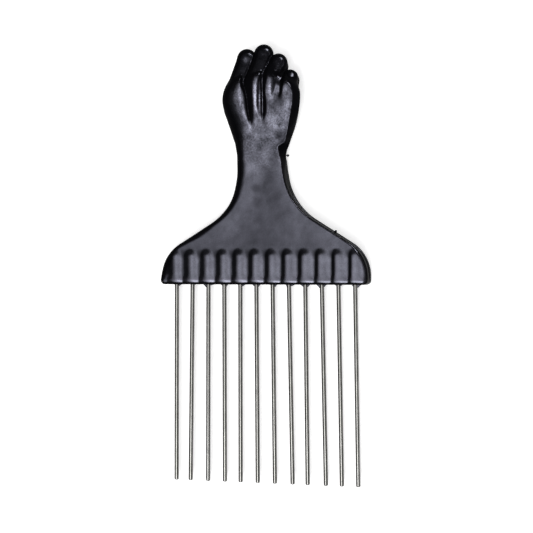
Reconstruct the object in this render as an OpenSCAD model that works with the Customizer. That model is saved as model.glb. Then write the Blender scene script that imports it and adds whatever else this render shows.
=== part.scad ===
// Hair pick with twelve steel wires for tines and a moulded handle that ends in a closed fist.
// It lies on its back: X runs across the tines, Y from the tips to the fist, Z up from the table.
// The origin is under the centre of the whole pick. A height is measured along the handle, up from
// the edge that the tines leave. The index finger is at -X, so it is a right fist seen from its back.

/* [Handle] */
// Length of the handle, from the edge that the tines leave to the top of the fist
handle_l = 96; // [88:0.5:106]
// Width of the base
base_w = 85.6; // [78:0.2:96]
// Thickness of the base and of the neck
base_t = 9.5; // [7.5:0.1:12]
// Straight part of the base's sides, below the shoulders
side_h = 3.2; // [2:0.1:6]
// Radius of the shoulders
shoulder_r = 16; // [10:0.5:20]
// Angle through which a shoulder turns towards the neck
flank_angle = 58; // [50:1:65]
// Radius of the hollow between a flank and the neck
neck_r = 25; // [15:0.5:30]
// Width of the neck
neck_w = 19.6; // [14:0.2:26]
// How far the neck lies off the base's middle, towards the index finger
neck_shift = 0.9; // [0:0.1:2]
// Rounding along the edges of the base and the neck
edge_r = 2.2; // [1:0.1:3]
// Rounding along the edge that the tines leave
lip_r = 1.2; // [0.6:0.1:2]

/* [Ribs] */
// Height of the rim below the ribs
rim_h = 1.8; // [1:0.1:3]
// Height of the ribs' upper ends
rib_h = 13.8; // [11:0.1:16]
// Depth of the valleys between the ribs
valley_deep = 1.8; // [1:0.1:2.4]
// Width of the valleys at the surface
valley_w = 5.6; // [4:0.1:6]

/* [Fist] */
// How far the middle finger reaches above the knuckles
finger_reach = 15; // [12:0.5:18]
// Length of the hand from the knuckles down to the narrowest part of the wrist
hand_l = 32; // [26:0.5:38]
// Length of the palm's hollow, from the knuckles down to the heel of the hand
palm_l = 15; // [10:0.5:20]
// Depth of the palm's hollow under the fingers
palm_deep = 5; // [3:0.1:7]
// How far below the knuckles the fist is widest
widest_drop = 6; // [3:0.5:10]
// Width of the fist at its widest part
fist_w = 30.2; // [26:0.2:36]
// How far the fist lies off the base's middle, towards the index finger
fist_shift = 0.5; // [0:0.1:2]
// Thickness of the fist at the knuckles
fist_t = 15.6; // [12:0.1:20]
// Diameter of the middle finger at its knuckle
knuckle_d = 8; // [6.5:0.1:9]
// Diameter of the middle finger at its folded joint
finger_d = 7.4; // [6:0.1:8.5]
// Height of the folded fingers above the table
finger_lift = 2.4; // [1:0.1:3]
// Diameter of the thumb at its joint
thumb_d = 8.4; // [7:0.1:10]
// Diameter of the thumb's tip
thumb_tip_d = 6.4; // [5:0.1:8]
// Depth of the deepest hollow between two tendons, at the knuckles
hollow_deep = 2.4; // [1:0.1:3]

/* [Tines] */
// Number of tines
tine_count = 12; // [8:1:13]
// Length of a tine outside the handle
tine_l = 79.5; // [50:0.5:100]
// Diameter of a tine
tine_d = 1.8; // [1.2:0.1:2.4]
// Length of the shank inside the handle
shank_l = 11; // [7:0.5:12]
// Distance from the axis of an outer tine to the side of the base
side_margin = 5.7; // [4.6:0.1:8]
// Rounding of the tips
tip_r = 0.5; // [0.2:0.05:0.55]
// Depth of the groove that locks a shank in the handle
groove_deep = 0.25; // [0.1:0.05:0.4]
// Width of that groove
groove_w = 1.2; // [0.9:0.1:2]
// Distance of that groove from the shank's end
groove_place = 2.5; // [1.5:0.1:4]
// How much the handle grips a tine, on the radius
grip = 0.02; // [0.01:0.01:0.05]

/* [Hidden] */

// Colours
black_plastic = [0.07, 0.07, 0.08];
steel = [0.72, 0.72, 0.70];

// Step along a side over which its slope is taken
slope_step = 0.1;

// Lean of each tine in degrees, positive towards +X. The last value serves any further tine.
tine_leans = [-0.1, -0.6, -0.1, 0.2, 0.1, 0.4, 0.7, 1.1, 0.7, 1.2, 1.0, 0.9];

// Steps along the curves of the outline and round the corners of a section
lip_steps = 3;
shoulder_steps = 8;
flank_steps = 3;
neck_steps = 7;
hand_steps = 12;
dome_steps = 5;
corner_steps = 5;
tip_steps = 6;

// Places that follow from the sizes
middle_y = (handle_l - tine_l) / 2;
tine_z = base_t / 2;
tine_pitch = (base_w - 2 * side_margin) / (tine_count - 1);
valley_r = (pow(valley_w / 2, 2) + pow(valley_deep, 2)) / (2 * valley_deep);
knuckle_h = handle_l - finger_reach;
fist_h = knuckle_h - widest_drop;
heel_h = knuckle_h - palm_l;
wrist_h = knuckle_h - hand_l;

// The body rounds off above its crown, into the fingers, through this angle of an oval dome
crown_h = knuckle_h - knuckle_d / 2;
dome_reach_share = 0.8;
dome_angle = 75;

// Fingers from the index to the little finger. Places across are shares of the fist's width from its
// middle, reaches are shares of the middle finger's and sizes are shares of its diameters.
knuckle_place_shares = [-0.28, -0.05, 0.155, 0.36];
joint_place_shares = [-0.205, 0.035, 0.245, 0.4];
reach_shares = [0.84, 1, 0.72, 0.3];
knuckle_size_shares = [1.12, 1, 0.96, 0.86];
joint_size_shares = [1.03, 1, 0.93, 0.8];

// Rounding of the fist's edges, as shares of its width on the index finger's side and on the little
// finger's side, and as a share of its thickness there
fist_edge_shares = [0.19, 0.1];
fist_edge_deep_share = 0.45;

// Height above the table of a finger's folded joint, as a share of the fist's thickness, and how far
// below the knuckles the fingertips end, as a share of the middle finger's reach
folded_joint_share = 0.53;
fingertip_drop_share = 0.35;

// How far below a finger's top its last joint lies, as a share of its diameter
last_joint_share = 0.75;

// Thumb's root, joint and tip: shares of the fist's width from its middle, and of the height between
// the wrist and the knuckles
thumb_root_shares = [-0.29, 0.42];
thumb_joint_shares = [-0.37, 0.76];
thumb_tip_shares = [0.02, 0.96];

// Back of the hand: crests of the tendons and hollows between them, from the index finger to the little
// finger, as shares of its flat width. A hollow's depth is a share of the deepest one's, and its length
// a share of the height between the wrist and the knuckles.
crest_shares = [0.02, 0.36, 0.61, 0.94];
hollow_shares = [0.2, 0.5, 0.77];
hollow_deep_shares = [1, 0.65, 0.75];
hollow_length_shares = [0.56, 0.45, 0.24];

// Depth of a hollow half-way up to a crest, as a share of its depth at the bottom
flank_deep_share = 0.25;

// Name of a tine, from tine_01 on
function tine_name(number) = str("tine_", number < 10 ? "0" : "", number);

// Place of a tine across the base, counted from zero at -X
function tine_x(i) = (i - (tine_count - 1) / 2) * tine_pitch;

// Lean of a tine
function tine_lean(i) = tine_leans[min(i, len(tine_leans) - 1)];

// Smooth rise from 0 to 1 while h goes from low to high
function rise(h, low, high) =
    let (t = min(max((h - low) / (high - low), 0), 1))
    t * t * (3 - 2 * t);

// Value between a and b, at share t
function between(a, b, t) = a + (b - a) * t;

// Outline of one side. Side is -1 for the index finger's side and 1 for the other one.
shoulder_end_h = side_h + shoulder_r * sin(flank_angle);
shoulder_end_x = base_w / 2 - shoulder_r * (1 - cos(flank_angle));
function neck_x(side) = neck_w / 2 - side * neck_shift;
function fist_x(side) = fist_w / 2 - side * fist_shift;
function flank_end_x(side) = neck_x(side) + neck_r * (1 - cos(flank_angle));
function flank_end_h(side) =
    shoulder_end_h + (shoulder_end_x - flank_end_x(side)) / tan(flank_angle);
function neck_start_h(side) = flank_end_h(side) + neck_r * sin(flank_angle);
function hand_start_h(side) = max(wrist_h, neck_start_h(side));
function half_width(h, side) =
    h < side_h ? base_w / 2
    : h < shoulder_end_h
        ? base_w / 2 - shoulder_r + sqrt(pow(shoulder_r, 2) - pow(h - side_h, 2))
    : h < flank_end_h(side)
        ? shoulder_end_x - (h - shoulder_end_h) * tan(flank_angle)
    : h < neck_start_h(side)
        ? neck_x(side) + neck_r - sqrt(pow(neck_r, 2) - pow(neck_start_h(side) - h, 2))
    : between(neck_x(side), fist_x(side), rise(h, hand_start_h(side), fist_h));

// How much wider than deep a rounded edge is where the side runs aslant
function stretch(h, side) =
    let (slope = (half_width(h + slope_step, side) - half_width(h - slope_step, side))
        / (2 * slope_step))
    sqrt(1 + slope * slope);

// How far the rounding along the lower edge sets a section back
function lip_inset(h) = h < lip_r ? lip_r - sqrt(pow(lip_r, 2) - pow(lip_r - h, 2)) : 0;

// Underside, top and edge rounding at a height
function underside(h) = palm_deep * rise(h, heel_h, crown_h);
function topside(h) = between(base_t, fist_t, rise(h, hand_start_h(0), crown_h));
function edge_deep(h) =
    let (full = (topside(h) - underside(h)) * fist_edge_deep_share)
    between(edge_r, full, rise(h, neck_start_h(0), fist_h));
function edge_wide(h, side) =
    let (full = fist_w * fist_edge_shares[side < 0 ? 0 : 1])
    between(edge_r * stretch(h, side), full, rise(h, neck_start_h(0), fist_h));

// Depth of a hollow at a height
function hollow_depth(i, h) =
    let (low_h = knuckle_h - (knuckle_h - wrist_h) * hollow_length_shares[i])
    hollow_deep * hollow_deep_shares[i] * rise(h, low_h, crown_h);

// Back of the hand at a height, from the little finger's side to the index finger's, as places across
// the flat width and depths below the crests
function tendons(h) = [
    [crest_shares[3], 0],
    for (i = [2:-1:0])
        let (
            place = hollow_shares[i],
            deep = hollow_depth(i, h)
        )
        each [
            [(place + crest_shares[i + 1]) / 2, deep * flank_deep_share],
            [place, deep],
            [(place + crest_shares[i]) / 2, deep * flank_deep_share],
            [crest_shares[i], 0]
        ]
];

// Quarter of an ellipse, from angle start on
function corner(x, z, wide, deep, start) =
    [for (i = [0:corner_steps])
        let (a = start + 90 * i / corner_steps)
        [x + wide * cos(a), z + deep * sin(a)]];

// How much of the lower edge's inset the rounding along the sides loses
lip_corner_share = 0.5;

// Section across the handle at a height, as points in X and Z
function section(h) =
    let (
        inset = lip_inset(h),
        right = half_width(h, 1) - inset,
        left = -half_width(h, -1) + inset,
        low = underside(h) + inset,
        high = topside(h) - inset,
        deep = edge_deep(h) - inset * lip_corner_share,
        wide_r = edge_wide(h, 1) - inset * lip_corner_share,
        wide_l = edge_wide(h, -1) - inset * lip_corner_share
    )
    concat(
        corner(right - wide_r, high - deep, wide_r, deep, 0),
        [for (t = tendons(h)) [between(left + wide_l, right - wide_r, t[0]), high - t[1]]],
        corner(left + wide_l, high - deep, wide_l, deep, 90),
        corner(left + wide_l, low + deep, wide_l, deep, 180),
        corner(right - wide_r, low + deep, wide_r, deep, 270)
    );

// Ring of points at a height. Shrink draws it in towards the middle of its section.
function ring(h, at, shrink) =
    let (mid = [-fist_shift, (underside(h) + topside(h)) / 2])
    [for (p = section(h))
        let (q = mid + (p - mid) * shrink)
        [q[0], at, q[1]]];

rings = concat(
    [for (i = [0:lip_steps])
        let (h = lip_r * (1 - cos(90 * i / lip_steps)))
        ring(h, h, 1)],
    [for (i = [0:shoulder_steps])
        let (h = side_h + shoulder_r * sin(flank_angle * i / shoulder_steps))
        ring(h, h, 1)],
    [for (i = [1:flank_steps])
        let (h = between(shoulder_end_h, flank_end_h(0), i / flank_steps))
        ring(h, h, 1)],
    [for (i = [1:neck_steps])
        let (h = neck_start_h(0) - neck_r * sin(flank_angle * (1 - i / neck_steps)))
        ring(h, h, 1)],
    [for (i = [1:hand_steps])
        let (h = between(neck_start_h(0), crown_h, i / hand_steps))
        ring(h, h, 1)],
    [for (i = [1:dome_steps])
        let (a = dome_angle * i / dome_steps)
        ring(crown_h, crown_h + knuckle_d * dome_reach_share * sin(a), cos(a))]
);

// Solid through a row of rings with the same number of points each
module loft(rings) {
    n = len(rings[0]);
    last = len(rings) - 1;
    sides = [
        for (r = [0:last - 1])
            for (i = [0:n - 1])
                let (
                    a = r * n + i,
                    b = r * n + (i + 1) % n
                )
                each [[a, b, b + n], [a, b + n, a + n]]
    ];
    low_cap = [for (i = [n - 1:-1:0]) i];
    high_cap = [for (i = [0:n - 1]) last * n + i];
    polyhedron(points = [for (r = rings) each r], faces = concat(sides, [low_cap], [high_cap]));
}

// Everything is drawn with the tines' edge at Y zero and then moved by this module
module placed() {
    translate([0, -middle_y, 0]) children();
}

module ball(place, d) {
    translate(place) sphere(d = d, $fn = 28);
}

// Place in the fist from a share of its width, a height and a height above the table
function fist_place(across_share, h, z) = [across_share * fist_w - fist_shift, h, z];

// One finger, folded over from its knuckle to its tip
module finger(i) {
    big = knuckle_d * knuckle_size_shares[i];
    small = finger_d * joint_size_shares[i];
    top_h = knuckle_h + finger_reach * reach_shares[i];
    tip_h = knuckle_h - finger_reach * fingertip_drop_share;
    low_z = finger_lift + small / 2;
    across = joint_place_shares[i];
    hull() {
        ball(fist_place(knuckle_place_shares[i], knuckle_h - big / 2, fist_t - big / 2), big);
        ball(fist_place(across, top_h - small / 2, fist_t * folded_joint_share), small);
        ball(fist_place(across, top_h - small * last_joint_share, low_z), small);
        ball(fist_place(across, tip_h, low_z), small);
    }
}

// The thumb lies across the folded index and middle fingers, and touches the table
module thumb() {
    hand_h = knuckle_h - wrist_h;
    function thumb_place(shares, z) = fist_place(shares[0], wrist_h + shares[1] * hand_h, z);
    hull() {
        ball(thumb_place(thumb_root_shares, thumb_d / 2), thumb_d);
        ball(thumb_place(thumb_joint_shares, thumb_d / 2), thumb_d);
    }
    hull() {
        ball(thumb_place(thumb_joint_shares, thumb_d / 2), thumb_d);
        ball(thumb_place(thumb_tip_shares, thumb_tip_d / 2), thumb_tip_d);
    }
}

// The moulding before its cuts. Balls with flat facets end a hair short of their diameters, so it is
// brought to its named sizes.
module moulding() {
    resize([base_w, handle_l, fist_t])
        union() {
            loft(rings);
            for (i = [0:3]) finger(i);
            thumb();
        }
}

// Round-bottomed valley between two ribs, from the rim to the ribs' upper ends
module valley(x, surface_z, side) {
    axis_z = surface_z + side * (valley_r - valley_deep);
    low = rim_h + valley_r;
    high = rib_h - valley_r;
    translate([x, low, axis_z]) sphere(r = valley_r, $fn = 48);
    translate([x, high, axis_z]) sphere(r = valley_r, $fn = 48);
    translate([x, low, axis_z]) rotate([-90, 0, 0]) cylinder(h = high - low, r = valley_r, $fn = 48);
}

// Valleys on the front and on the back
module valleys() {
    for (i = [0:tine_count - 2]) {
        x = (tine_x(i) + tine_x(i + 1)) / 2;
        valley(x, base_t, 1);
        valley(x, 0, -1);
    }
}

// Wire with its shank at negative Z and its tip up, turned from one profile. Less is taken off its radius.
module wire(less) {
    r = tine_d / 2 - less;
    groove_low = groove_place - shank_l;
    groove_high = groove_low + groove_w;
    rotate_extrude($fn = 64)
        polygon(concat(
            [
                [0, -shank_l],
                [r, -shank_l],
                [r, groove_low],
                [r - groove_deep, groove_low + groove_deep],
                [r - groove_deep, groove_high - groove_deep],
                [r, groove_high]
            ],
            [for (i = [0:tip_steps])
                let (a = 90 * i / tip_steps)
                [r - tip_r * (1 - cos(a)), tine_l - tip_r * (1 - sin(a))]],
            [[0, tine_l]]
        ));
}

// Wire laid in its place in the comb
module laid_wire(i, less) {
    translate([tine_x(i), 0, tine_z]) rotate([0, 0, tine_lean(i)]) rotate([90, 0, 0]) wire(less);
}

module handle() {
    color(black_plastic)
        placed()
            difference() {
                moulding();
                valleys();
                for (i = [0:tine_count - 1]) laid_wire(i, grip);
            }
}

module tine(i) {
    color(steel) placed() laid_wire(i, 0);
}

handle();
for (i = [0:tine_count - 1])
    tine(i);
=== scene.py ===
import math
import random

import bpy
import numpy as np
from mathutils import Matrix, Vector


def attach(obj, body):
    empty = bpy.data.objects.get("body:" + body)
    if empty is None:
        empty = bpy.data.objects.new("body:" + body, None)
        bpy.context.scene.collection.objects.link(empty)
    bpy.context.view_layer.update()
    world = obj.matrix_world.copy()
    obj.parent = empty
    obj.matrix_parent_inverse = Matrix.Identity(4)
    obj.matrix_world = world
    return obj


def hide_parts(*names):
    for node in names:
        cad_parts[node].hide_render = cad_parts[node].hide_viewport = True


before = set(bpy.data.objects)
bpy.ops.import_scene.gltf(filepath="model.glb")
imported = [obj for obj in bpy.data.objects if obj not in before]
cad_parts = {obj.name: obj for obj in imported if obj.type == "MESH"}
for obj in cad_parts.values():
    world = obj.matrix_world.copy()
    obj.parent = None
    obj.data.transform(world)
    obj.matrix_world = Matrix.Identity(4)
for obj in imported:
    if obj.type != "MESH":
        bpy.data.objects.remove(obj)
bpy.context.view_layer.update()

# Sizes are in millimetres up to the meshes. x runs across the comb, h along the handle, up from the edge
# that the tines leave, and z up from the table.
MM = 0.001
TINE_COUNT = 12
TINE_L = 79.5
HANDLE_L = 96.0
BASE_W = 85.6
BASE_T = 9.5
SIDE_MARGIN = 5.7
# Height that lies on the frame's X axis, which is the middle of the whole pick
MID_Y = (HANDLE_L - TINE_L) / 2
PITCH = (BASE_W - 2 * SIDE_MARGIN) / (TINE_COUNT - 1)
# Grid step of the handle's mesh
STEP = 0.35
# Stands in for zero where that would break a division or a change of sign
TINY = 1e-9


def rise(v, low, high):
    """Soft step from 0 at low to 1 at high."""
    t = np.clip((v - low) / (high - low), 0, 1)
    return t * t * (3 - 2 * t)


def smooth_union(a, b, k):
    """Union of two distance fields, with a fillet of about size k."""
    t = np.clip(0.5 + 0.5 * (b - a) / k, 0, 1)
    return b + (a - b) * t - k * t * (1 - t)


def table(rows, v):
    """Straight lines through the rows of a table of (place, value)."""
    return np.interp(v, [r[0] for r in rows], [r[1] for r in rows])


# ---------------------------------------------------------------- outline of the moulding, seen from the front

# Base and neck: straight side, shoulder arc, straight flank, neck arc, and the rounding of the lower corner
SIDE_H = 3.2
SHOULDER_R = 16.0
FLANK = math.radians(58)
NECK_R = 25.0
CORNER_R = 1.7
# Half width of the neck where it is narrowest, on the index finger's side and on the little finger's side
NECK_LEFT, NECK_RIGHT = 11.15, 8.9
# The web is slimmer on the index finger's side: how much, and the heights between which that comes and goes
WEB_INSET, WEB_COMES, WEB_GOES = 0.75, (8, 20), (30, 42)
CORNER_STEPS, ARC_STEPS, HAND_STEP = 8, 24, 0.5
# Heights between which the neck's width passes over into the hand's
NECK_END, HAND_BEGIN = 50.0, 56.0
# Half widths of the hand against height, on the index finger's side and on the little finger's side
HAND_LEFT = [(49.0, 11.1), (53.0, 11.6), (57.0, 12.0), (61.0, 13.0), (65.0, 14.4), (69.0, 15.7), (73.0, 16.25),
             (77.0, 15.6), (81.0, 14.0), (84.0, 12.6), (86.5, 11.0), (88.5, 8.6)]
HAND_RIGHT = [(49.0, 9.0), (53.0, 9.5), (57.0, 10.7), (61.0, 12.2), (65.0, 13.6), (69.0, 14.9), (73.0, 15.8),
              (77.0, 15.7), (80.0, 14.2), (83.0, 11.3), (86.0, 8.8), (88.5, 6.2)]


def smooth_table(rows, h):
    """Smooth curve through the rows of a table."""
    hs = np.array([r[0] for r in rows])
    vs = np.array([r[1] for r in rows])
    slope = np.gradient(vs, hs)
    i = np.clip(np.searchsorted(hs, h) - 1, 0, len(hs) - 2)
    w = hs[i + 1] - hs[i]
    t = np.clip((h - hs[i]) / w, 0, 1)
    a, b = vs[i], vs[i + 1]
    return (a * (2 * t**3 - 3 * t**2 + 1) + b * (3 * t**2 - 2 * t**3)
            + w * slope[i] * (t**3 - 2 * t**2 + t) + w * slope[i + 1] * (t**3 - t**2))


def side_points(side):
    """Points along one side of the outline, from the lower edge to the top of the hand. The side is -1 for the
    index finger's and 1 for the little finger's."""
    neck_x, rows = (NECK_LEFT, HAND_LEFT) if side < 0 else (NECK_RIGHT, HAND_RIGHT)
    pts = []
    for i in range(CORNER_STEPS + 1):
        a = math.radians(90 * i / CORNER_STEPS)
        pts.append((BASE_W / 2 - CORNER_R * (1 - math.sin(a)), CORNER_R * (1 - math.cos(a))))
    for i in range(ARC_STEPS + 1):
        a = FLANK * i / ARC_STEPS
        pts.append((BASE_W / 2 - SHOULDER_R * (1 - math.cos(a)), SIDE_H + SHOULDER_R * math.sin(a)))
    end_x, end_h = pts[-1]
    far_x = neck_x + NECK_R * (1 - math.cos(FLANK))
    far_h = end_h + (end_x - far_x) / math.tan(FLANK)
    for i in range(ARC_STEPS + 1):
        a = FLANK * (1 - i / ARC_STEPS)
        pts.append((neck_x + NECK_R * (1 - math.cos(a)), far_h + NECK_R * (math.sin(FLANK) - math.sin(a))))
    if side < 0:
        pts = [(x - WEB_INSET * float(rise(h, *WEB_COMES) * (1 - rise(h, *WEB_GOES))), h) for x, h in pts]
    last = pts[-1]
    for h in np.arange(NECK_END + HAND_STEP, rows[-1][0] + HAND_STEP / 2, HAND_STEP):
        w = float(smooth_table(rows, h))
        t = float(rise(h, NECK_END, HAND_BEGIN))
        pts.append((last[0] * (1 - t) + w * t, float(h)))
    return [(side * x, h) for x, h in pts]


OUTLINE = np.array(side_points(1) + side_points(-1)[::-1])
# What is taken off a grid's count so that a place on its far edge still reads from the last cell
LAST_CELL = 1.001


def between_nodes(grid, low, step, x, y):
    """Value of a grid at places between its nodes."""
    u = np.clip((x - low[0]) / step, 0, grid.shape[0] - LAST_CELL)
    v = np.clip((y - low[1]) / step, 0, grid.shape[1] - LAST_CELL)
    i, j = u.astype(int), v.astype(int)
    s, t = u - i, v - j
    return ((grid[i, j] * (1 - s) + grid[i + 1, j] * s) * (1 - t)
            + (grid[i, j + 1] * (1 - s) + grid[i + 1, j + 1] * s) * t)


class Distance:
    """Signed distance to a closed outline, kept on a fine grid and read between its nodes."""

    def __init__(self, pts, low, high, step):
        self.low, self.step = np.array(low), step
        nx, ny = [int((b - a) / step) + 2 for a, b in zip(low, high)]
        x = low[0] + step * np.arange(nx)
        y = low[1] + step * np.arange(ny)
        gx, gy = np.meshgrid(x, y, indexing="ij")
        p = np.stack([gx.ravel(), gy.ravel()], 1)
        best = np.full(len(p), np.inf)
        inside = np.zeros(len(p), bool)
        for a, b in zip(pts, np.roll(pts, -1, 0)):
            e = b - a
            w = p - a
            t = np.clip((w @ e) / max(e @ e, TINY), 0, 1)
            best = np.minimum(best, ((w - t[:, None] * e) ** 2).sum(1))
            if a[1] != b[1]:
                over = (p[:, 1] >= min(a[1], b[1])) & (p[:, 1] < max(a[1], b[1]))
                cross = a[0] + (p[:, 1] - a[1]) * (b[0] - a[0]) / (b[1] - a[1])
                inside ^= over & (p[:, 0] < cross)
        self.grid = (np.sqrt(best) * np.where(inside, -1, 1)).reshape(nx, ny)

    def __call__(self, x, y):
        return between_nodes(self.grid, self.low, self.step, x, y)


EDGE_MAP = (-45.0, -2.5), (45.0, 98.5), 0.25  # lower corner, upper corner and step, as in the other maps
edge_distance = Distance(OUTLINE, *EDGE_MAP)

# ---------------------------------------------------------------- the moulding as a distance field

TINE_X = np.array([(i - (TINE_COUNT - 1) / 2) * PITCH for i in range(TINE_COUNT)])
RIB_UP = 0.6
# Where the ribs' round noses begin, how long these are, and the height above which no rib reaches
RIB_HIGH, NOSE, RIBS_END = 11.2, 3.6, 17.0
# The gaps are this share as deep at the lip, and full from the upper of two heights
GAP_AT_LIP, GAP_GROWS = 0.62, (0.8, 4.5)
# How far each rib's crest and the gap after it lie from the tine, from the first tine to the last
CREST_X = TINE_X + np.linspace(0.7, -0.1, TINE_COUNT)
VALLEY_X = TINE_X + np.linspace(4.0, 4.9, TINE_COUNT)
# From the first rib's crest to the plain face before it
FIRST_FLANK = 3.4


def rib_height(x, h):
    """How far the ribbed face stands over the plain one: a rib by each tine, with a steep side to the left, a
    gentle one to the right and a round nose at the top. The gaps between them grow shallow at the lip."""
    places = np.ravel(np.column_stack([CREST_X, VALLEY_X]))
    places = np.concatenate([[CREST_X[0] - FIRST_FLANK], places])
    phase = np.interp(x, places, np.arange(len(places)) - 1.0)
    dh = np.maximum(h - RIB_HIGH, 0) / NOSE
    off = np.abs(phase - 2 * np.round(phase / 2)) * (GAP_AT_LIP + (1 - GAP_AT_LIP) * rise(h, *GAP_GROWS))
    t = np.clip(np.sqrt(off * off + dh * dh), 0, 1)
    return RIB_UP * (0.5 + 0.5 * np.cos(np.pi * t))


# Lines along the back of the hand, from the index finger's side to the little finger's: places across and depths
# at these heights. A crest is a tendon, a hollow lies between two, and a ledge or edge is on the way down.
HEIGHTS = [60.0, 63.2, 64.7, 66.3, 67.8, 69.4, 70.9, 72.4, 74.0, 75.5, 77.0, 78.5, 80.1, 84.0, 90.0]
CREST_1 = [-6.8, -6.6, -7.1, -7.9, -8.6, -8.9, -9.2, -9.5, -9.7, -10.0, -10.4, -10.4, -9.9, -9.4, -8.6]
EDGE_1 = [-3.5, -4.1, -4.5, -4.8, -5.1, -5.3, -5.4, -5.5, -5.65, -5.9, -6.3, -6.9, -7.2, -7.2, -6.6]
FALL_1 = [0.0, 0.05, 0.14, 0.35, 0.45, 0.46, 0.54, 0.62, 0.66, 0.74, 0.64, 0.34, 0.08, 0.03, 0.02]
HOLLOW_1 = [-3.1, -3.7, -4.1, -4.4, -4.7, -4.9, -5.0, -5.1, -5.25, -5.5, -5.9, -6.5, -6.8, -6.8, -6.2]
DEPTH_1 = [0.0, 0.15, 0.5, 0.9, 1.15, 1.3, 1.4, 1.5, 1.6, 1.8, 2.0, 2.3, 2.6, 3.2, 3.4]
CREST_2 = [-1.6, -2.1, -2.15, -2.1, -2.0, -1.95, -1.9, -1.9, -1.9, -1.95, -1.9, -1.8, -1.5, -1.0, 0.0]
LEDGE_2A = [0.25, 0.25, 0.25, 0.45, 0.15, -0.15, -0.25, -0.2, -0.1, 0.05, 0.2, 0.3, 0.45, 1.05, 2.05]
DROP_2A = [0.0, 0.0, 0.0, 0.1, 0.25, 0.5, 0.7, 0.75, 0.75, 0.8, 0.85, 0.85, 0.9, 1.0, 1.2]
LEDGE_2B = [0.7, 0.7, 0.7, 0.9, 0.8, 0.75, 0.8, 0.9, 0.95, 1.0, 1.0, 1.0, 1.0, 1.4, 2.3]
DROP_2B = [0.0, 0.0, 0.0, 0.12, 0.3, 0.58, 0.8, 0.85, 0.85, 0.9, 0.95, 0.95, 1.1, 1.9, 2.1]
HOLLOW_2 = [1.1, 1.1, 1.1, 1.25, 1.15, 1.1, 1.15, 1.25, 1.3, 1.35, 1.35, 1.35, 1.35, 1.8, 2.7]
DEPTH_2 = [0.0, 0.0, 0.05, 0.5, 1.1, 1.5, 1.8, 1.9, 2.0, 2.1, 2.2, 2.4, 2.6, 3.0, 3.4]
CREST_3 = [2.7, 2.7, 2.7, 2.8, 3.2, 3.5, 3.5, 3.4, 3.2, 3.1, 3.2, 3.4, 3.9, 4.5, 5.5]
LEDGE_3A = [6.0, 6.0, 6.0, 6.0, 6.0, 6.0, 6.0, 6.0, 6.0, 6.2, 6.6, 6.9, 7.1, 7.6, 8.4]
DROP_3A = [0.0, 0.0, 0.0, 0.0, 0.0, 0.0, 0.0, 0.05, 0.25, 0.6, 0.9, 1.1, 1.3, 1.4, 1.6]
LEDGE_3B = [7.0, 7.0, 7.0, 7.0, 7.0, 7.0, 7.0, 7.0, 7.2, 7.7, 8.0, 8.1, 8.0, 8.4, 9.0]
DROP_3B = [0.0, 0.0, 0.0, 0.0, 0.0, 0.0, 0.0, 0.05, 0.32, 0.7, 1.02, 1.25, 1.6, 2.2, 2.4]
HOLLOW_3 = [8.2, 8.2, 8.2, 8.2, 8.2, 8.2, 8.2, 8.2, 8.4, 8.7, 8.9, 9.1, 9.2, 9.4, 9.8]
DEPTH_3 = [0.0, 0.0, 0.0, 0.0, 0.0, 0.0, 0.0, 0.05, 0.35, 0.9, 1.5, 2.1, 2.6, 3.0, 3.2]
CREST_4 = [10.4, 10.4, 10.4, 10.4, 10.4, 10.4, 10.4, 10.3, 10.0, 9.9, 10.2, 10.6, 11.2, 11.3, 11.4]
LEVEL = [0.0] * len(HEIGHTS)
# The middle finger's tendon falls gently as far as a shoulder: this share of the way across and of the drop
SHOULDER_AT, SHOULDER_DROP = 0.65, 0.2
SHOULDER_2 = [(1 - SHOULDER_AT) * a + SHOULDER_AT * b for a, b in zip(CREST_2, LEDGE_2A)]
FALL_2 = [SHOULDER_DROP * v for v in DROP_2A]
# Stretches from line to line: places and depths at both ends, and how late the fall or rise comes
STRETCHES = [
    (CREST_1, LEVEL, EDGE_1, FALL_1, 3.0),
    (EDGE_1, FALL_1, HOLLOW_1, DEPTH_1, 1.0),
    (HOLLOW_1, DEPTH_1, CREST_2, LEVEL, 0.75),
    (CREST_2, LEVEL, SHOULDER_2, FALL_2, 1.0),
    (SHOULDER_2, FALL_2, LEDGE_2A, DROP_2A, 2.0),
    (LEDGE_2A, DROP_2A, LEDGE_2B, DROP_2B, 1.0),
    (LEDGE_2B, DROP_2B, HOLLOW_2, DEPTH_2, 1.0),
    (HOLLOW_2, DEPTH_2, CREST_3, LEVEL, 0.6),
    (CREST_3, LEVEL, LEDGE_3A, DROP_3A, 4.0),
    (LEDGE_3A, DROP_3A, LEDGE_3B, DROP_3B, 1.0),
    (LEDGE_3B, DROP_3B, HOLLOW_3, DEPTH_3, 1.0),
    (HOLLOW_3, DEPTH_3, CREST_4, LEVEL, 0.6),
]
# Height at which the back of the hand turns over into the fingers, at places across
KNUCKLES = [(-15, 78.4), (-9, 80.6), (-2, 82.2), (4, 82.6), (11, 80.5), (15, 78.6)]


def tendon_relief(x, h):
    """Depth of the hollows between the tendons."""
    z = np.zeros_like(x)
    for xa, za, xb, zb, late in STRETCHES:
        xa, za, xb, zb = [np.interp(h, HEIGHTS, v) for v in (xa, za, xb, zb)]
        t = np.clip((x - xa) / (xb - xa), 0, 1)
        t = t ** late if late >= 1 else 1 - (1 - t) ** (1 / late)
        z = np.where((x >= xa) & (x < xb), za + (zb - za) * t, z)
    return z


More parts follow.
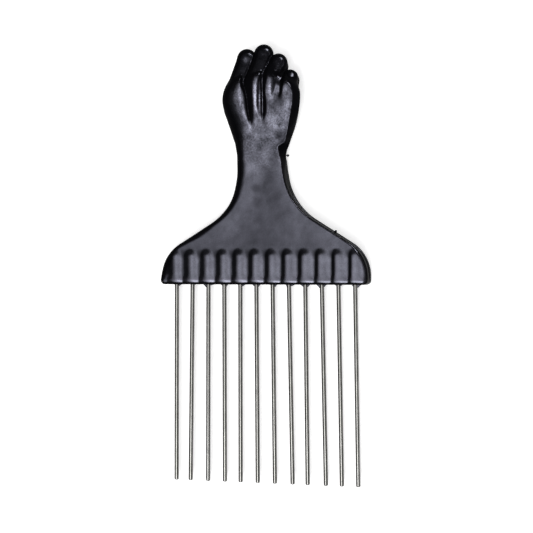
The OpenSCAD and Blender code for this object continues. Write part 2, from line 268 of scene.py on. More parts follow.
class Relief:
    """A height map, blurred with a bell curve of that standard deviation and read between its nodes."""

    def __init__(self, height, low, high, step, blur):
        self.low, self.step = np.array(low), step
        nx, ny = [int((b - a) / step) + 2 for a, b in zip(low, high)]
        gx, gy = np.meshgrid(low[0] + step * np.arange(nx), low[1] + step * np.arange(ny), indexing="ij")
        g = height(gx, gy)
        reach = int(3 * blur / step)  # three deviations to each side
        kernel = np.exp(-0.5 * (step * np.arange(-reach, reach + 1) / blur) ** 2)
        kernel /= kernel.sum()

        def blurred(v):
            return np.convolve(np.pad(v, reach, mode="edge"), kernel, "valid")

        for axis in (0, 1):
            g = np.apply_along_axis(blurred, axis, g)
        self.grid = g

    def __call__(self, x, y):
        return between_nodes(self.grid, self.low, self.step, x, y)


# Soft sink marks on the face of the neck and web. Each row: place across, height, half width, half height, depth
SINKS = [(-0.6, 37.5, 2.2, 2.6, 0.11), (1.6, 34.0, 1.6, 3.0, 0.07), (4.6, 40.0, 1.3, 6.0, 0.02),
         (-1.5, 26.0, 1.5, 5.0, 0.06), (7.0, 59.0, 1.6, 2.4, 0.25), (5.2, 70.5, 1.8, 1.6, 0.1)]
# The wide hollow of web and neck: depth, distances from the outline, and heights where it comes and goes
DISH_DEEP, DISH_EDGE, DISH_COMES, DISH_GOES = 0.32, (1.5, 11.0), (12.0, 22.0), (44.0, 58.0)
# The low strip along the neck's edge on the little finger's side, in the same way, with where it comes across
STRIP_DEEP, STRIP_EDGE, STRIP_COMES, STRIP_GOES = 0.14, (0.0, 3.6), (22.0, 30.0), (46.0, 52.0)
STRIP_ACROSS = (0.0, 4.0)


def dish_depth(x, h):
    """Depth of the hollow face of the web and neck, with its sink marks."""
    inward = -edge_distance(x, h)
    depth = DISH_DEEP * rise(inward, *DISH_EDGE) * rise(h, *DISH_COMES) * (1 - rise(h, *DISH_GOES))
    for at, high, wide, tall, deep in SINKS:
        depth = depth + deep * np.exp(-((x - at) / wide) ** 2 - ((h - high) / tall) ** 2)
    strip = (1 - rise(inward, *STRIP_EDGE)) * rise(h, *STRIP_COMES) * (1 - rise(h, *STRIP_GOES))
    return depth + STRIP_DEEP * strip * rise(x, *STRIP_ACROSS)


# Lower corner, upper corner, step and blur of each map
RELIEF_MAP = (-20.0, 55.0), (20.0, 99.0), 0.15, 0.18
DISH_MAP = (-45.0, -2.0), (45.0, 99.0), 0.5, 1.0
relief = Relief(tendon_relief, *RELIEF_MAP)
dish = Relief(dish_depth, *DISH_MAP)

# Rounding of the edges against height, on the index finger's side and on the little finger's side: distance from
# the outline to the crest, depth below the crest, and roundness, where 2 is an ellipse and 1 a bevel
WIDE_LEFT = [(2.0, 2.2), (5.0, 4.4), (9.5, 3.9), (12.0, 2.6), (14.4, 1.9), (17.0, 2.4), (19.2, 3.2), (22.0, 2.8),
             (24.0, 2.4), (30.0, 3.4), (36.0, 4.3), (44.0, 4.8), (50.0, 4.6), (54.0, 5.0), (58.0, 5.9), (61.0, 7.3),
             (64.0, 9.3), (67.0, 9.0), (70.5, 9.1), (73.5, 8.7), (77.0, 8.0), (80.0, 7.3), (92.0, 7.3)]
DEEP_LEFT = [(2.0, 1.5), (6.0, 3.0), (20.0, 3.8), (34.0, 4.4), (50.0, 4.6), (60.0, 5.6), (92.0, 5.6)]
WIDE_RIGHT = [(2.0, 1.7), (12.0, 1.0), (17.0, 0.6), (26.0, 0.4), (44.0, 0.3), (50.0, 0.9), (54.2, 2.4), (55.0, 2.3),
              (56.3, 0.3), (60.0, 0.6), (66.0, 1.4), (74.0, 1.9), (80.0, 2.4), (92.0, 3.0)]
DEEP_RIGHT = [(2.0, 1.5), (26.0, 1.2), (44.0, 2.4), (50.0, 4.6), (92.0, 5.6)]
ROUND_RIGHT = [(2.0, 2.0), (30.0, 2.0), (44.0, 1.6), (50.0, 1.15), (74.0, 1.15), (80.0, 1.5), (92.0, 2.0)]
ROUND_LEFT = 2.0
# Places across between which the left side's rounding passes over into the right side's
LEFT_TO_RIGHT = (-4.0, 6.0)
# From the upper of two heights, the underside's edge on the right is at least this wide
UNDER_WIDE, UNDER_GROWS = 3.0, (46.0, 56.0)
# The back of the hand climbs from the wrist: heights where the bend begins and ends, and the slope after it
HAND_LOW, HAND_FULL, HAND_SLOPE = 43.0, 59.0, 0.2
# The face begins to fall this far before the knuckles and falls as a square, which gets steeper and then ends
FALL_START, FALL_CURVE = 4.0, 0.045
STEEPER_FROM, STEEPER_CURVE = 3.6, 0.16
# Deepest fall, up to a height and above it
FALL_MOST, FALL_MOST_TOP, FALL_TOP_FROM = 7.5, 9.0, 87.0
# The hand's own relief begins at this height, and loses a share of its depth between two others
HAND_FROM, RELIEF_LOSS, RELIEF_FADES = 56.0, 0.6, (81.5, 89.0)
# The palm's hollow under the hand
PALM_DEEP, PALM_GROWS = 4.6, (62.0, 76.0)
# The underside follows the ribs: distances from the outline where that comes, and heights where it goes
UNDER_RIB_EDGE, UNDER_RIB_GOES = (0.5, 2.5), (11.5, 16.5)
THINNEST = 1.0


def front_face(x, h):
    """Height of the front face above the table."""
    bend = np.clip(h - HAND_LOW, 0, HAND_FULL - HAND_LOW)
    climb = bend * bend / (2 * (HAND_FULL - HAND_LOW)) + np.maximum(h - HAND_FULL, 0)
    past = np.maximum(h - table(KNUCKLES, x) + FALL_START, 0)
    fall = FALL_CURVE * past * past + STEEPER_CURVE * np.maximum(past - STEEPER_FROM, 0) ** 2
    fall = np.minimum(fall, np.where(h < FALL_TOP_FROM, FALL_MOST, FALL_MOST_TOP))
    z = BASE_T + HAND_SLOPE * climb - fall - dish(x, h)
    ribs = np.where(h < RIBS_END, rib_height(x, h), 0)
    tendons = np.where(h > HAND_FROM, relief(x, h) * (1 - RELIEF_LOSS * rise(h, *RELIEF_FADES)), 0)
    return z + ribs - tendons


def back_face(x, h, d):
    """Height of the underside above the table."""
    grooves = np.where(h < RIBS_END, RIB_UP - rib_height(x, h), 0)
    return PALM_DEEP * rise(h, *PALM_GROWS) + grooves * rise(-d, *UNDER_RIB_EDGE) * (1 - rise(h, *UNDER_RIB_GOES))


def body(x, h, z):
    """Distance field of the plate between both faces, with its edges rounded."""
    d = edge_distance(x, h)
    high, low = front_face(x, h), back_face(x, h, d)
    mid = (high + low) / 2
    half = np.maximum((high - low) / 2, THINNEST)
    side = rise(x, *LEFT_TO_RIGHT)
    wide = table(WIDE_LEFT, h) * (1 - side) + table(WIDE_RIGHT, h) * side
    deep = table(DEEP_LEFT, h) * (1 - side) + table(DEEP_RIGHT, h) * side
    wide = np.where(z < mid, np.maximum(wide, side * UNDER_WIDE * rise(h, *UNDER_GROWS)), wide)
    power = ROUND_LEFT * (1 - side) + table(ROUND_RIGHT, h) * side
    deep = np.minimum(deep, half)
    u = (d + wide) / wide
    v = (np.abs(z - mid) - half + deep) / deep
    out = (np.maximum(u, 0) ** power + np.maximum(v, 0) ** power) ** (1 / power)
    inn = np.minimum(np.maximum(u, v), 0)
    return (out + inn - 1) * np.minimum(wide, deep)


def cone(x, h, z, a, b, ra, rb):
    """Rounded cone between two balls."""
    ax, ay, az = a
    bx, by, bz = b[0] - ax, b[1] - ay, b[2] - az
    px, py, pz = x - ax, h - ay, z - az
    t = np.clip((px * bx + py * by + pz * bz) / (bx * bx + by * by + bz * bz), 0, 1)
    return np.sqrt((px - bx * t) ** 2 + (py - by * t) ** 2 + (pz - bz * t) ** 2) - (ra + (rb - ra) * t)


# Knuckle, folded joint, second joint and tip of each finger. Each: place across, height along, height up, radius
FINGERS = [
    [(-9.6, 80.6, 10.0, 3.5), (-6.5, 90.1, 7.7, 3.75), (-6.7, 88.0, 5.4, 3.5), (-7.6, 77.5, 5.8, 3.3)],
    [(-2.0, 82.0, 10.4, 3.9), (0.55, 91.7, 7.7, 3.7), (0.4, 90.2, 5.5, 3.5), (-0.6, 77.0, 5.6, 3.2)],
    [(4.2, 81.8, 10.4, 3.7), (6.6, 88.1, 7.8, 3.45), (6.6, 86.8, 5.5, 3.2), (5.8, 76.6, 5.3, 3.0)],
    [(10.9, 78.2, 10.3, 3.7), (11.5, 82.0, 8.0, 3.0), (11.5, 81.2, 5.7, 2.9), (11.3, 75.0, 5.0, 2.8)],
]
THUMB = [(-8.6, 60.0, 4.8, 4.3), (-11.6, 70.5, 5.0, 4.6), (-9.6, 77.6, 4.1, 3.9), (-0.6, 80.6, 3.3, 3.2)]
# Fillets: at the fingers' joints, between fingers, at the thumb's joints, and from the thumb to the fingers
FINGER_JOINT, FINGER_SIDE, THUMB_JOINT, THUMB_SIDE = 0.8, 0.35, 1.2, 0.4
# Fillet from the fingers to the hand, what it loses at the knuckles, and the heights where it does
HAND_FILLET, FILLET_LOSS, FILLET_SHRINKS = 1.2, 0.7, (79.0, 83.0)


def limb(x, h, z, joints, k):
    """Chain of rounded cones through the joints."""
    out = None
    for a, b in zip(joints, joints[1:]):
        d = cone(x, h, z, a[:3], b[:3], a[3], b[3])
        out = d if out is None else smooth_union(out, d, k)
    return out


def field(x, h, z):
    """Signed distance to the moulding's surface, near enough to place it."""
    d = body(x, h, z)
    hand = h > HAND_FROM
    if hand.any():
        xx, hh, zz = x[hand], h[hand], z[hand]
        f = None
        for joints in FINGERS:
            g = limb(xx, hh, zz, joints, FINGER_JOINT)
            f = g if f is None else smooth_union(f, g, FINGER_SIDE)
        f = smooth_union(f, limb(xx, hh, zz, THUMB, THUMB_JOINT), THUMB_SIDE)
        d[hand] = smooth_union(d[hand], f, HAND_FILLET - FILLET_LOSS * rise(hh, *FILLET_SHRINKS))
    return d


def surface_net(axes):
    """Mesh of the zero surface of the field, one vertex to each grid cell that it crosses."""
    n = [len(a) for a in axes]
    f = np.empty(n)
    gh, gz = np.meshgrid(axes[1], axes[2], indexing="ij")
    for i, x in enumerate(axes[0]):
        f[i] = field(np.full(gh.size, x), gh.ravel(), gz.ravel()).reshape(gh.shape)
    f[f == 0] = TINY
    neg = f < 0
    corners = [(i, j, k) for i in (0, 1) for j in (0, 1) for k in (0, 1)]
    cut = [slice(None, -1), slice(1, None)]
    count = sum(neg[cut[i], cut[j], cut[k]].astype(np.int8) for i, j, k in corners)
    cells = np.argwhere((count > 0) & (count < 8))
    index = np.full(count.shape, -1)
    index[tuple(cells.T)] = np.arange(len(cells))
    total = np.zeros((len(cells), 3))
    hits = np.zeros(len(cells))
    for c in corners:
        for axis in range(3):
            if c[axis]:
                continue
            e = list(c)
            e[axis] = 1
            fa = f[tuple((cells + c).T)]
            fb = f[tuple((cells + e).T)]
            on = (fa < 0) != (fb < 0)
            t = np.where(on, fa / np.where(on, fa - fb, 1), 0)
            p = np.array(c, float)[None, :].repeat(len(cells), 0)
            p[:, axis] += t
            total += p * on[:, None]
            hits += on
    at = cells + total / hits[:, None]
    verts = np.stack([np.interp(at[:, k], np.arange(n[k]), axes[k]) for k in range(3)], 1)
    faces = []
    for axis in range(3):
        u, v = (axis + 1) % 3, (axis + 2) % 3
        first = [slice(None)] * 3
        second = [slice(None)] * 3
        first[axis], second[axis] = slice(None, -1), slice(1, None)
        a, b = neg[tuple(first)], neg[tuple(second)]
        for flip, mask in ((False, a & ~b), (True, ~a & b)):
            at = np.argwhere(mask)
            at = at[(at[:, u] > 0) & (at[:, v] > 0)]
            at = at[(at[:, u] < n[u] - 1) & (at[:, v] < n[v] - 1)]
            ring = []
            for du, dv in ((-1, -1), (0, -1), (0, 0), (-1, 0)):
                c = at.copy()
                c[:, u] += du
                c[:, v] += dv
                ring.append(index[tuple(c.T)])
            quad = np.stack(ring, 1)
            faces.append(quad[:, ::-1] if flip else quad)
    return verts, np.concatenate(faces)


# Rounds of moving the vertices, how far apart the slope is measured, the least slope squared that a move is
# worked out from, and the longest move as a share of the grid's step
SETTLE_ROUNDS, PROBE, LEAST_SLOPE, LONGEST_MOVE = 4, 0.02, 0.05, 0.4


def settle(verts, step):
    """Moves the vertices on to the surface."""
    p = verts.copy()
    for _ in range(SETTLE_ROUNDS):
        v = field(*p.T)
        g = np.stack([(field(*(p + o).T) - field(*(p - o).T)) / (2 * PROBE) for o in np.eye(3) * PROBE], 1)
        move = g * (v / np.maximum((g * g).sum(1), LEAST_SLOPE))[:, None]
        size = np.sqrt((move * move).sum(1))
        move *= np.minimum(1, LONGEST_MOVE * step / np.maximum(size, TINY))[:, None]
        p -= move
    return p


def new_mesh(name, verts, faces, smooth=True):
    """Object from points in millimetres (x, h, z)."""
    v = np.array(verts, float)
    v[:, 1] -= MID_Y
    me = bpy.data.meshes.new(name)
    me.from_pydata((v * MM).tolist(), [], [list(map(int, f)) for f in faces])
    me.validate()
    me.update()
    if smooth:
        me.shade_smooth()
    o = bpy.data.objects.new(name, me)
    bpy.context.scene.collection.objects.link(o)
    return o


# The mesh's grid reaches a little beyond the handle: to both sides, below and under it, to its end and above it
GRID_SIDE, GRID_START, GRID_END, GRID_TOP = 44.0, -1.2, 97.6, 17.2
# Its steps as shares of STEP: along the web and neck, along the hand from a height, and upwards
WEB_SHARE, HAND_SHARE, FINE_FROM, UP_SHARE = 1.15, 0.9, 55.0, 1.1
across = np.arange(-GRID_SIDE, GRID_SIDE, STEP)
along = np.concatenate([np.arange(GRID_START, FINE_FROM, STEP * WEB_SHARE),
                        np.arange(FINE_FROM, GRID_END, STEP * HAND_SHARE)])
upward = np.arange(GRID_START, GRID_TOP, STEP * UP_SHARE)
skin_verts, skin_faces = surface_net([across, along, upward])
skin = new_mesh("handle_skin", settle(skin_verts, STEP), skin_faces)

# ---------------------------------------------------------------- materials


class Nodes:
    """Shorthand for building a material's node tree."""

    def __init__(self, name):
        self.material = bpy.data.materials.new(name)
        self.material.use_nodes = True
        self.tree = self.material.node_tree
        self.tree.nodes.clear()
        self.out = self.add("ShaderNodeOutputMaterial")

    def add(self, kind, inputs=(), **settings):
        n = self.tree.nodes.new(kind)
        for k, v in settings.items():
            setattr(n, k, v)
        for k, v in dict(inputs).items():
            if hasattr(v, "links"):
                self.tree.links.new(v, n.inputs[k])
            else:
                n.inputs[k].default_value = v
        return n

    def place(self, scale):
        """The mesh's own coordinates, scaled."""
        co = self.add("ShaderNodeTexCoord").outputs["Object"]
        return self.add("ShaderNodeMapping", {"Vector": co, "Scale": scale}).outputs["Vector"]

    def noise(self, vector, scale, detail, roughness):
        return self.add("ShaderNodeTexNoise", {"Vector": vector, "Scale": scale, "Detail": detail,
                                               "Roughness": roughness}).outputs["Fac"]

    def mapped(self, value, old, new, kind="LINEAR"):
        """A value carried over from one range to another."""
        return self.add("ShaderNodeMapRange", {"Value": value, "From Min": old[0], "From Max": old[1],
                                               "To Min": new[0], "To Max": new[1]},
                        interpolation_type=kind).outputs["Result"]

    def maths(self, operation, a, b):
        return self.add("ShaderNodeMath", {0: a, 1: b}, operation=operation).outputs[0]

    def bump(self, height, strength, distance, over=None):
        """A normal with a bump in it, over another normal where there is one."""
        inputs = {"Height": height, "Strength": strength, "Distance": distance}
        if over is not None:
            inputs["Normal"] = over
        return self.add("ShaderNodeBump", inputs).outputs["Normal"]

    def ramp(self, fac, span, low, high):
        """Colour that goes from low to high as fac goes through a span."""
        n = self.add("ShaderNodeValToRGB", {"Fac": fac})
        for element, at, colour in zip(n.color_ramp.elements, span, (low, high)):
            element.position, element.color = at, colour
        return n.outputs["Color"]

    def surface(self, shader):
        self.tree.links.new(shader, self.out.inputs["Surface"])
        return self.material

    def finish(self, inputs):
        """The material, with one principled shader that has these inputs."""
        return self.surface(self.add("ShaderNodeBsdfPrincipled", inputs).outputs["BSDF"])


# Scale from metres to millimetres, for the textures, and one that is stretched along the wires as drawing leaves it
IN_MM, DRAWN = (1000, 1000, 1000), (6000, 60, 6000)
# The middle part of a noise, which rarely goes beyond it
NOISE_SPAN = (0.3, 0.7)
# Textures, each with its scale, detail and roughness
BROAD, FINE, SPECK = (0.09, 2.0, 0.5), (0.9, 4.0, 0.6), (1.5, 2.0, 0.7)
BLOTCH, FLECK = (0.22, 1.0, 0.5), (1.5, 3.0, 0.65)
STREAK, CLOUD = (1.0, 3.0, 0.5), (0.25, 3.0, 0.5)
# Bumps, each with its strength and its depth in metres. The mottle's strength grows along the handle
WAVE, GRAIN, DRAWN_LINE = (0.5, 0.0006), (0.2, 0.00005), (0.15, 0.00002)
MOTTLE_DEPTH = 0.000016
# Ranges and what they become. Along Y in millimetres: strength of the mottle, and how patchy the gloss is
MOTTLE_ALONG, PATCHY_ALONG = ((38.0, 54.0), (0.12, 1.0)), ((30.0, 52.0), (0.35, 1.6))
# Gloss is strong where the face turns to the eye, and almost none on the walls: painted shade that keeps the walls
# dark instead of mirroring the floor. Its haze is the sum of two noises
GLOSS_FACING, HAZE = ((0.12, 0.245), (0.9, 0.002)), ((0.7, 1.3), (-0.5, 0.5))
PLASTIC_ROUGH, STEEL_ROUGH = (0.18, 0.26), (0.12, 0.22)
PLASTIC_DARK, PLASTIC_LIGHT = (0.0026, 0.0026, 0.0033, 1), (0.0038, 0.0038, 0.0048, 1)
STEEL_DARK, STEEL_LIGHT = (0.26, 0.257, 0.247, 1), (0.34, 0.336, 0.324, 1)
# Index and tint of the plastic's gloss. The steel's black tint is at the edges, where it takes the white away:
# painted shade that darkens the wires' edges
PLASTIC_IOR, PLASTIC_TINT, STEEL_TINT = 1.6, (0.8, 0.81, 1.0, 1), (0.0, 0.0, 0.0, 1)

# Patches of the face with less or more gloss: painted shade where the gloss is cut, which also takes out glints, and
# painted sheen where it is raised. Each row: place across and height, radius, share of the gloss
SHADE_AND_SHEEN_PATCHES = [((5.2, 71.0), 3.4, 0.45), ((9.0, 71.8), 3.4, 0.5), ((7.3, 59.2), 3.2, 0.3), ((-2.3, 38.2), 2.8, 0.5),
           ((-1.8, 33.0), 3.6, 0.7), ((5.0, 61.0), 2.6, 0.6), ((1.0, 21.0), 15.0, 0.8), ((1.0, 57.6), 6.5, 0.7),
           ((-0.4, 45.5), 6.5, 1.4), ((4.5, 84.3), 2.5, 0.05), ((5.6, 85.7), 2.4, 0.05), ((5.9, 83.5), 3.0, 0.02)]
# Inner part of a patch, as a share of its radius, where it works in full
PATCH_CORE = 0.2
# Rows of more patches, with their radius and share: in the first hollow and on the hand's right border, both
# between two heights, and at the noses of the gaps between the ribs
# These rows are painted shade: they dull the glints along the hollow's crease, the hand's right border and the noses
PATCH_STEP = 1.3
HOLLOW_SPAN, HOLLOW_SHIFT, HOLLOW_PATCH = (65.6, 79.0), 0.1, (1.3, 0.05)
NOSE_H, NOSE_SHIFT, NOSE_PATCH = 12.2, 0.6, (2.7, 0.45)
BORDER_SPAN, BORDER_PATCH = (55.0, 78.0), (1.9, 0.62)
hollow_row = [(np.interp(h, HEIGHTS, HOLLOW_1) + HOLLOW_SHIFT, h) for h in np.arange(*HOLLOW_SPAN, PATCH_STEP)]
nose_row = [(x + NOSE_SHIFT, NOSE_H) for x in VALLEY_X[:-1]]
border_row = [(smooth_table(HAND_RIGHT, h) - table(WIDE_RIGHT, h), h) for h in np.arange(*BORDER_SPAN, PATCH_STEP)]
for row, (radius, share) in ((hollow_row, HOLLOW_PATCH), (nose_row, NOSE_PATCH), (border_row, BORDER_PATCH)):
    SHADE_AND_SHEEN_PATCHES += [((float(x), float(h)), radius, share) for x, h in row]
# More painted shade, which dulls glints at the wrist's notch and the ring finger's knuckle
SHADE_AND_SHEEN_PATCHES += [((8.2, 53.6), 1.7, 0.5), ((9.4, 55.8), 2.6, 0.25), ((6.9, 82.9), 2.1, 0.0)]


def plastic_material():
    m = Nodes("black_gloss_plastic")
    scaled = m.place(IN_MM)
    broad, fine, speck, blotch, fleck = [m.noise(scaled, *row) for row in (BROAD, FINE, SPECK, BLOTCH, FLECK)]
    along = m.add("ShaderNodeSeparateXYZ", {"Vector": scaled}).outputs["Y"]
    wave = m.bump(broad, *WAVE)
    mottle = m.bump(speck, m.mapped(along, *MOTTLE_ALONG, "SMOOTHSTEP"), MOTTLE_DEPTH, wave)
    facing = m.add("ShaderNodeLayerWeight", {"Blend": 0.5}).outputs["Facing"]
    haze = m.mapped(m.maths("ADD", blotch, fleck), *HAZE)
    level = m.maths("ADD", m.maths("MULTIPLY", haze, m.mapped(along, *PATCHY_ALONG, "SMOOTHSTEP")), 1.0)
    # Painted shade: the gloss falls away as the face turns from the eye, so the walls stay dark
    shine = m.maths("MULTIPLY", m.mapped(facing, *GLOSS_FACING), level)
    flat = m.place((IN_MM[0], IN_MM[1], 0))
    # Painted shade and sheen: each patch scales the gloss by its share near its centre
    for at, radius, share in SHADE_AND_SHEEN_PATCHES:
        centre = (at[0], at[1] - MID_Y, 0)
        far = m.add("ShaderNodeVectorMath", {0: flat, 1: centre}, operation="DISTANCE").outputs["Value"]
        keep = m.mapped(far, (PATCH_CORE * radius, radius), (share, 1.0), "SMOOTHSTEP")
        shine = m.maths("MULTIPLY", shine, keep)
    return m.finish({"Base Color": m.ramp(broad, NOISE_SPAN, PLASTIC_DARK, PLASTIC_LIGHT),
                     "Roughness": m.mapped(fine, NOISE_SPAN, PLASTIC_ROUGH), "Normal": m.bump(fine, *GRAIN, mottle),
                     "Specular IOR Level": shine, "Specular Tint": PLASTIC_TINT, "IOR": PLASTIC_IOR})


def steel_material():
    m = Nodes("bright_steel_wire")
    streak = m.noise(m.place(DRAWN), *STREAK)
    cloud = m.noise(m.place(IN_MM), *CLOUD)
    # Painted shade: the black edge tint darkens the wires' edges
    return m.finish({"Base Color": m.ramp(cloud, NOISE_SPAN, STEEL_DARK, STEEL_LIGHT),
                     "Roughness": m.mapped(streak, NOISE_SPAN, STEEL_ROUGH), "Normal": m.bump(streak, *DRAWN_LINE),
                     "Specular Tint": STEEL_TINT, "Metallic": 1.0})


# ---------------------------------------------------------------- small pieces on the handle

# Heights between which the ridge runs, and its proudness with the heights where that comes and goes
RIDGE_LOW, RIDGE_HIGH = 1.0, 47.0
RIDGE_PROUD, RIDGE_COMES, RIDGE_GOES = 0.24, (0.8, 3.0), (30.0, 46.5)
# Where it fades out it lies this deep in the wall. Half width and half height of its round section
RIDGE_SUNK, RIDGE_HALF_W, RIDGE_HALF_H = 0.02, 0.4, 0.3
RIDGE_RING = 8


def parting_ridge():
    """The fine line that the mould's halves leave along both sides, halfway up, which fades out at the hand."""
    verts, faces = [], []
    ring = RIDGE_RING
    for side in (-1, 1):
        path = np.array([p for p in side_points(side) if RIDGE_LOW < p[1] < RIDGE_HIGH])
        step = np.gradient(path, axis=0)
        out = np.stack([step[:, 1], -step[:, 0]], 1) * side
        out /= np.linalg.norm(out, axis=1)[:, None]
        start = len(verts)
        for (x, h), (nx, nh) in zip(path, out):
            proud = RIDGE_PROUD * float(rise(h, *RIDGE_COMES) * (1 - rise(h, *RIDGE_GOES))) - RIDGE_SUNK
            for k in range(ring):
                a = 2 * math.pi * k / ring
                reach = proud - RIDGE_HALF_W + RIDGE_HALF_W * math.cos(a)
                verts.append((x + nx * reach, h + nh * reach, BASE_T / 2 + RIDGE_HALF_H * math.sin(a)))
        count = len(path)
        for i in range(count - 1):
            for k in range(ring):
                a, b = start + i * ring + k, start + i * ring + (k + 1) % ring
                quad = [a, b, b + ring, a + ring]
                faces.append(quad if side > 0 else quad[::-1])
        ends = [list(range(start, start + ring)), list(range(start + (count - 1) * ring, start + count * ring))]
        faces.append(ends[0][::-1] if side > 0 else ends[0])
        faces.append(ends[1] if side > 0 else ends[1][::-1])
    return new_mesh("parting_ridge", verts, faces)


# Sizes that the films of flash are drawn from: width, how far they hang down, and half thickness
FLASH_WIDE, FLASH_TALL, FLASH_HALF_T = (0.7, 2.0), (0.4, 1.3), (0.12, 0.24)
# Share of films that are small, and how small, across and down
FEW_SMALL, SMALL_WIDE, SMALL_TALL = 0.25, 0.5, 0.4
# Where a film begins beside the wire's middle, how far it reaches into the handle, and how much its faces taper
FLASH_ROOT, FLASH_IN, FLASH_TAPER = 0.75, 0.25, 0.8
# How little its outer end hangs down, and how far that end leans out inside the handle
FLASH_FADE, FLASH_LEAN = 0.02, 0.1
# Lower edge of a film, from the wire outwards, as shares of its width and of how far it hangs down
FLASH_EDGE = [(0.0, 1.0), (0.3, 0.92), (0.5, 0.55), (0.75, 0.25)]
FLASH_SEED = 7


def root_flash():
    """Thin films of plastic that crept out beside the roots of the wires."""
    draw = random.Random(FLASH_SEED)
    verts, faces = [], []
    for at in TINE_X:
        for side in (-1, 1):
            wide, tall, thick = draw.uniform(*FLASH_WIDE), draw.uniform(*FLASH_TALL), draw.uniform(*FLASH_HALF_T)
            if draw.random() < FEW_SMALL:
                tall, wide = tall * SMALL_TALL, wide * SMALL_WIDE
            root = at + side * FLASH_ROOT
            edge = [(u * wide, -v * tall) for u, v in FLASH_EDGE]
            shape = [(0, FLASH_IN)] + edge + [(wide, -FLASH_FADE), (wide + FLASH_LEAN, FLASH_IN)]
            start, n = len(verts), len(shape)
            for z, scale in ((-thick, FLASH_TAPER), (0, 1.0), (thick, FLASH_TAPER)):
                verts += [(root + side * u * scale, v * scale if v < 0 else v, BASE_T / 2 + z) for u, v in shape]
            for layer in (0, 1):
                for k in range(n):
                    a, b = start + layer * n + k, start + layer * n + (k + 1) % n
                    quad = [a, b, b + n, a + n]
                    faces.append(quad if side > 0 else quad[::-1])
            low, top = list(range(start, start + n)), list(range(start + 2 * n, start + 3 * n))
            faces.append(low[::-1] if side > 0 else low)
            faces.append(top if side > 0 else top[::-1])
    return new_mesh("root_flash", verts, faces, smooth=False)


# Each burr: name, centre, half sizes, and seed of its random draws
BURRS = [("wrist_burr", (9.7, 51.4, 5.0), (0.6, 0.42, 0.4), 3),
         ("flank_burr", (29.3, 21.1, 4.9), (0.5, 0.45, 0.35), 5)]
BURR_ROWS, BURR_RING, BURR_ROUGH = 7, 12, 0.22


def burr(name, at, size, seed):
    """A small rough lump of flash on the side."""
    draw = random.Random(seed)
    verts, faces = [], []
    rows, ring = BURR_ROWS, BURR_RING
    for i in range(rows + 1):
        b = math.pi * i / rows
        for k in range(ring):
            a = 2 * math.pi * k / ring
            r = 1 + draw.uniform(-BURR_ROUGH, BURR_ROUGH) * math.sin(b)
            unit = (math.sin(b) * math.cos(a) * r, math.sin(b) * math.sin(a) * r, math.cos(b))
            verts.append(tuple(c + s * u for c, s, u in zip(at, size, unit)))
    for i in range(rows):
        for k in range(ring):
            a, b = i * ring + k, i * ring + (k + 1) % ring
            faces.append([b, a, a + ring, b + ring])
    faces.append(list(range(ring)))
    faces.append(list(range(rows * ring, (rows + 1) * ring))[::-1])
    return new_mesh(name, verts, faces)


plastic = plastic_material()
steel = steel_material()
for piece in [skin, parting_ridge(), root_flash()] + [burr(*row) for row in BURRS]:
    piece.data.materials.append(plastic)
    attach(piece, "root")
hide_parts("handle")

for i in range(TINE_COUNT):
    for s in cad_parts["tine_%02d" % (i + 1)].material_slots:
        s.material = steel

# ---------------------------------------------------------------- floor, lights and camera, in metres

WHITE = (1, 1, 1, 1)
FLOOR_HALF, FLOOR_Z = 8.0, -0.00005
# The floor's own grey, and the light that it adds to what the camera and mirror-like surfaces see of it
FLOOR_COLOUR, FLOOR_GLOW = (0.8, 0.8, 0.8, 1), 0.6


def stage_floor():
    m = Nodes("pale_floor")
    lit = m.add("ShaderNodeBsdfDiffuse", {"Color": FLOOR_COLOUR})
    glow = m.add("ShaderNodeEmission", {"Color": WHITE, "Strength": FLOOR_GLOW})
    path = m.add("ShaderNodeLightPath").outputs
    seen = m.maths("MAXIMUM", m.maths("MAXIMUM", path["Is Camera Ray"], path["Is Glossy Ray"]),
                   path["Is Transmission Ray"])
    none = m.add("ShaderNodeEmission", {"Strength": 0.0})
    extra = m.add("ShaderNodeMixShader", {0: seen, 1: none.outputs[0], 2: glow.outputs[0]})
    both = m.add("ShaderNodeAddShader", {0: lit.outputs[0], 1: extra.outputs[0]})
    me = bpy.data.meshes.new("floor")
    s, z = FLOOR_HALF, FLOOR_Z
    me.from_pydata([(-s, -s, z), (s, -s, z), (s, s, z), (-s, s, z)], [], [(0, 1, 2, 3)])
    me.materials.append(m.surface(both.outputs[0]))
    o = bpy.data.objects.new("floor", me)
    bpy.context.scene.collection.objects.link(o)


def area(name, centre, aim, size, power):
    """Softbox of a size and power, from its centre towards an aim."""
    light = bpy.data.lights.new(name, "AREA")
    light.shape = "RECTANGLE"
    light.size, light.size_y = size
    light.energy = power
    o = bpy.data.objects.new(name, light)
    o.location = centre
    way = Vector(aim) - Vector(centre)
    o.rotation_mode = "QUATERNION"
    o.rotation_quaternion = way.to_track_quat("-Z", "Y")
    o.visible_camera = False
    bpy.context.scene.collection.objects.link(o)


stage_floor()
# Distance of the front softboxes' plane from the table
FRONT = 1.6


def front_softbox(name, left, right, low, high, radiance):
    """A softbox in the plane in front of the object, between angles from its axis, left to right and low to high."""
    x0, x1, y0, y1 = [FRONT * math.tan(math.radians(a)) for a in (left, right, low, high)]
    centre = ((x0 + x1) / 2, (y0 + y1) / 2, FRONT)
    area(name, centre, centre[:2] + (0.0,), (x1 - x0, y1 - y0), radiance * math.pi * (x1 - x0) * (y1 - y0))


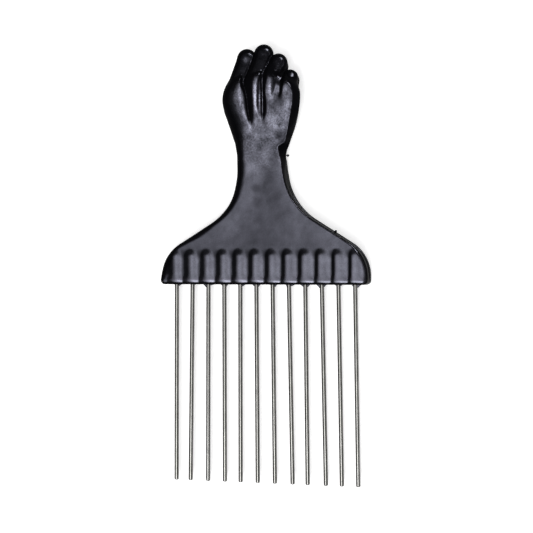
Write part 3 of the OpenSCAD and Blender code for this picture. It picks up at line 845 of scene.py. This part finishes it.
# Columns from left to right and rows from high to low, in degrees, with the radiance of each panel
COLUMNS = [-34.0, -21.0, -15.0, -8.0, 12.0, 34.0, 58.0]
ROWS = [20.0, 12.0, 0.0, -8.0, -17.0, -50.0]
PANELS = [
    [0.0, 0.0, 0.3, 0.9, 0.3, 0.1],
    [0.6, 0.9, 1.25, 2.25, 0.9, 0.2],
    [0.6, 1.15, 1.55, 2.45, 0.9, 0.2],
    [1.0, 1.3, 2.4, 5.4, 0.6, 0.2],
    [1.5, 2.3, 3.9, 7.6, 0.4, 0.1],
]
for j, row in enumerate(PANELS):
    for i, radiance in enumerate(row):
        if radiance > 0:
            front_softbox("panel_%d_%d" % (j, i), COLUMNS[i], COLUMNS[i + 1], ROWS[j + 1], ROWS[j], radiance)
# For the small highlights at the fingertips, from their right: centre, aim, size and power
TIP_LIGHT = (0.36, 0.50, 0.14), (0.0, 0.08, 0.01), (0.24, 0.14), 1.6
area("tip_light", *TIP_LIGHT)

WORLD_LIGHT = 0.04
world = bpy.data.worlds.new("studio")
world.use_nodes = True
world.node_tree.nodes["Background"].inputs["Color"].default_value = WHITE
world.node_tree.nodes["Background"].inputs["Strength"].default_value = WORLD_LIGHT
bpy.context.scene.world = world

# In millimetres: where the camera aims, how far off it stands, and half the width that it sees there. Then its
# angle to the right of straight above
AIM = (0.8, -1.05, 4.75)
CAMERA_FAR, VIEW_HALF = 586.0, 106.6
YAW = math.radians(16)
SENSOR = 36.0
# Nearest and farthest that the camera sees, in metres
CLIP = (0.01, 20.0)

cam_data = bpy.data.cameras.new("camera")
cam_data.sensor_width = SENSOR
cam_data.lens = SENSOR / 2 / (VIEW_HALF / CAMERA_FAR)
cam_data.clip_start, cam_data.clip_end = CLIP
cam = bpy.data.objects.new("camera", cam_data)
cam.location = [c * MM for c in (AIM[0] + CAMERA_FAR * math.sin(YAW), AIM[1], AIM[2] + CAMERA_FAR * math.cos(YAW))]
cam.rotation_euler = (0, YAW, 0)
bpy.context.scene.collection.objects.link(cam)
bpy.context.scene.camera = cam

bpy.context.scene.view_settings.view_transform = "Standard"

bpy.context.view_layer.update()
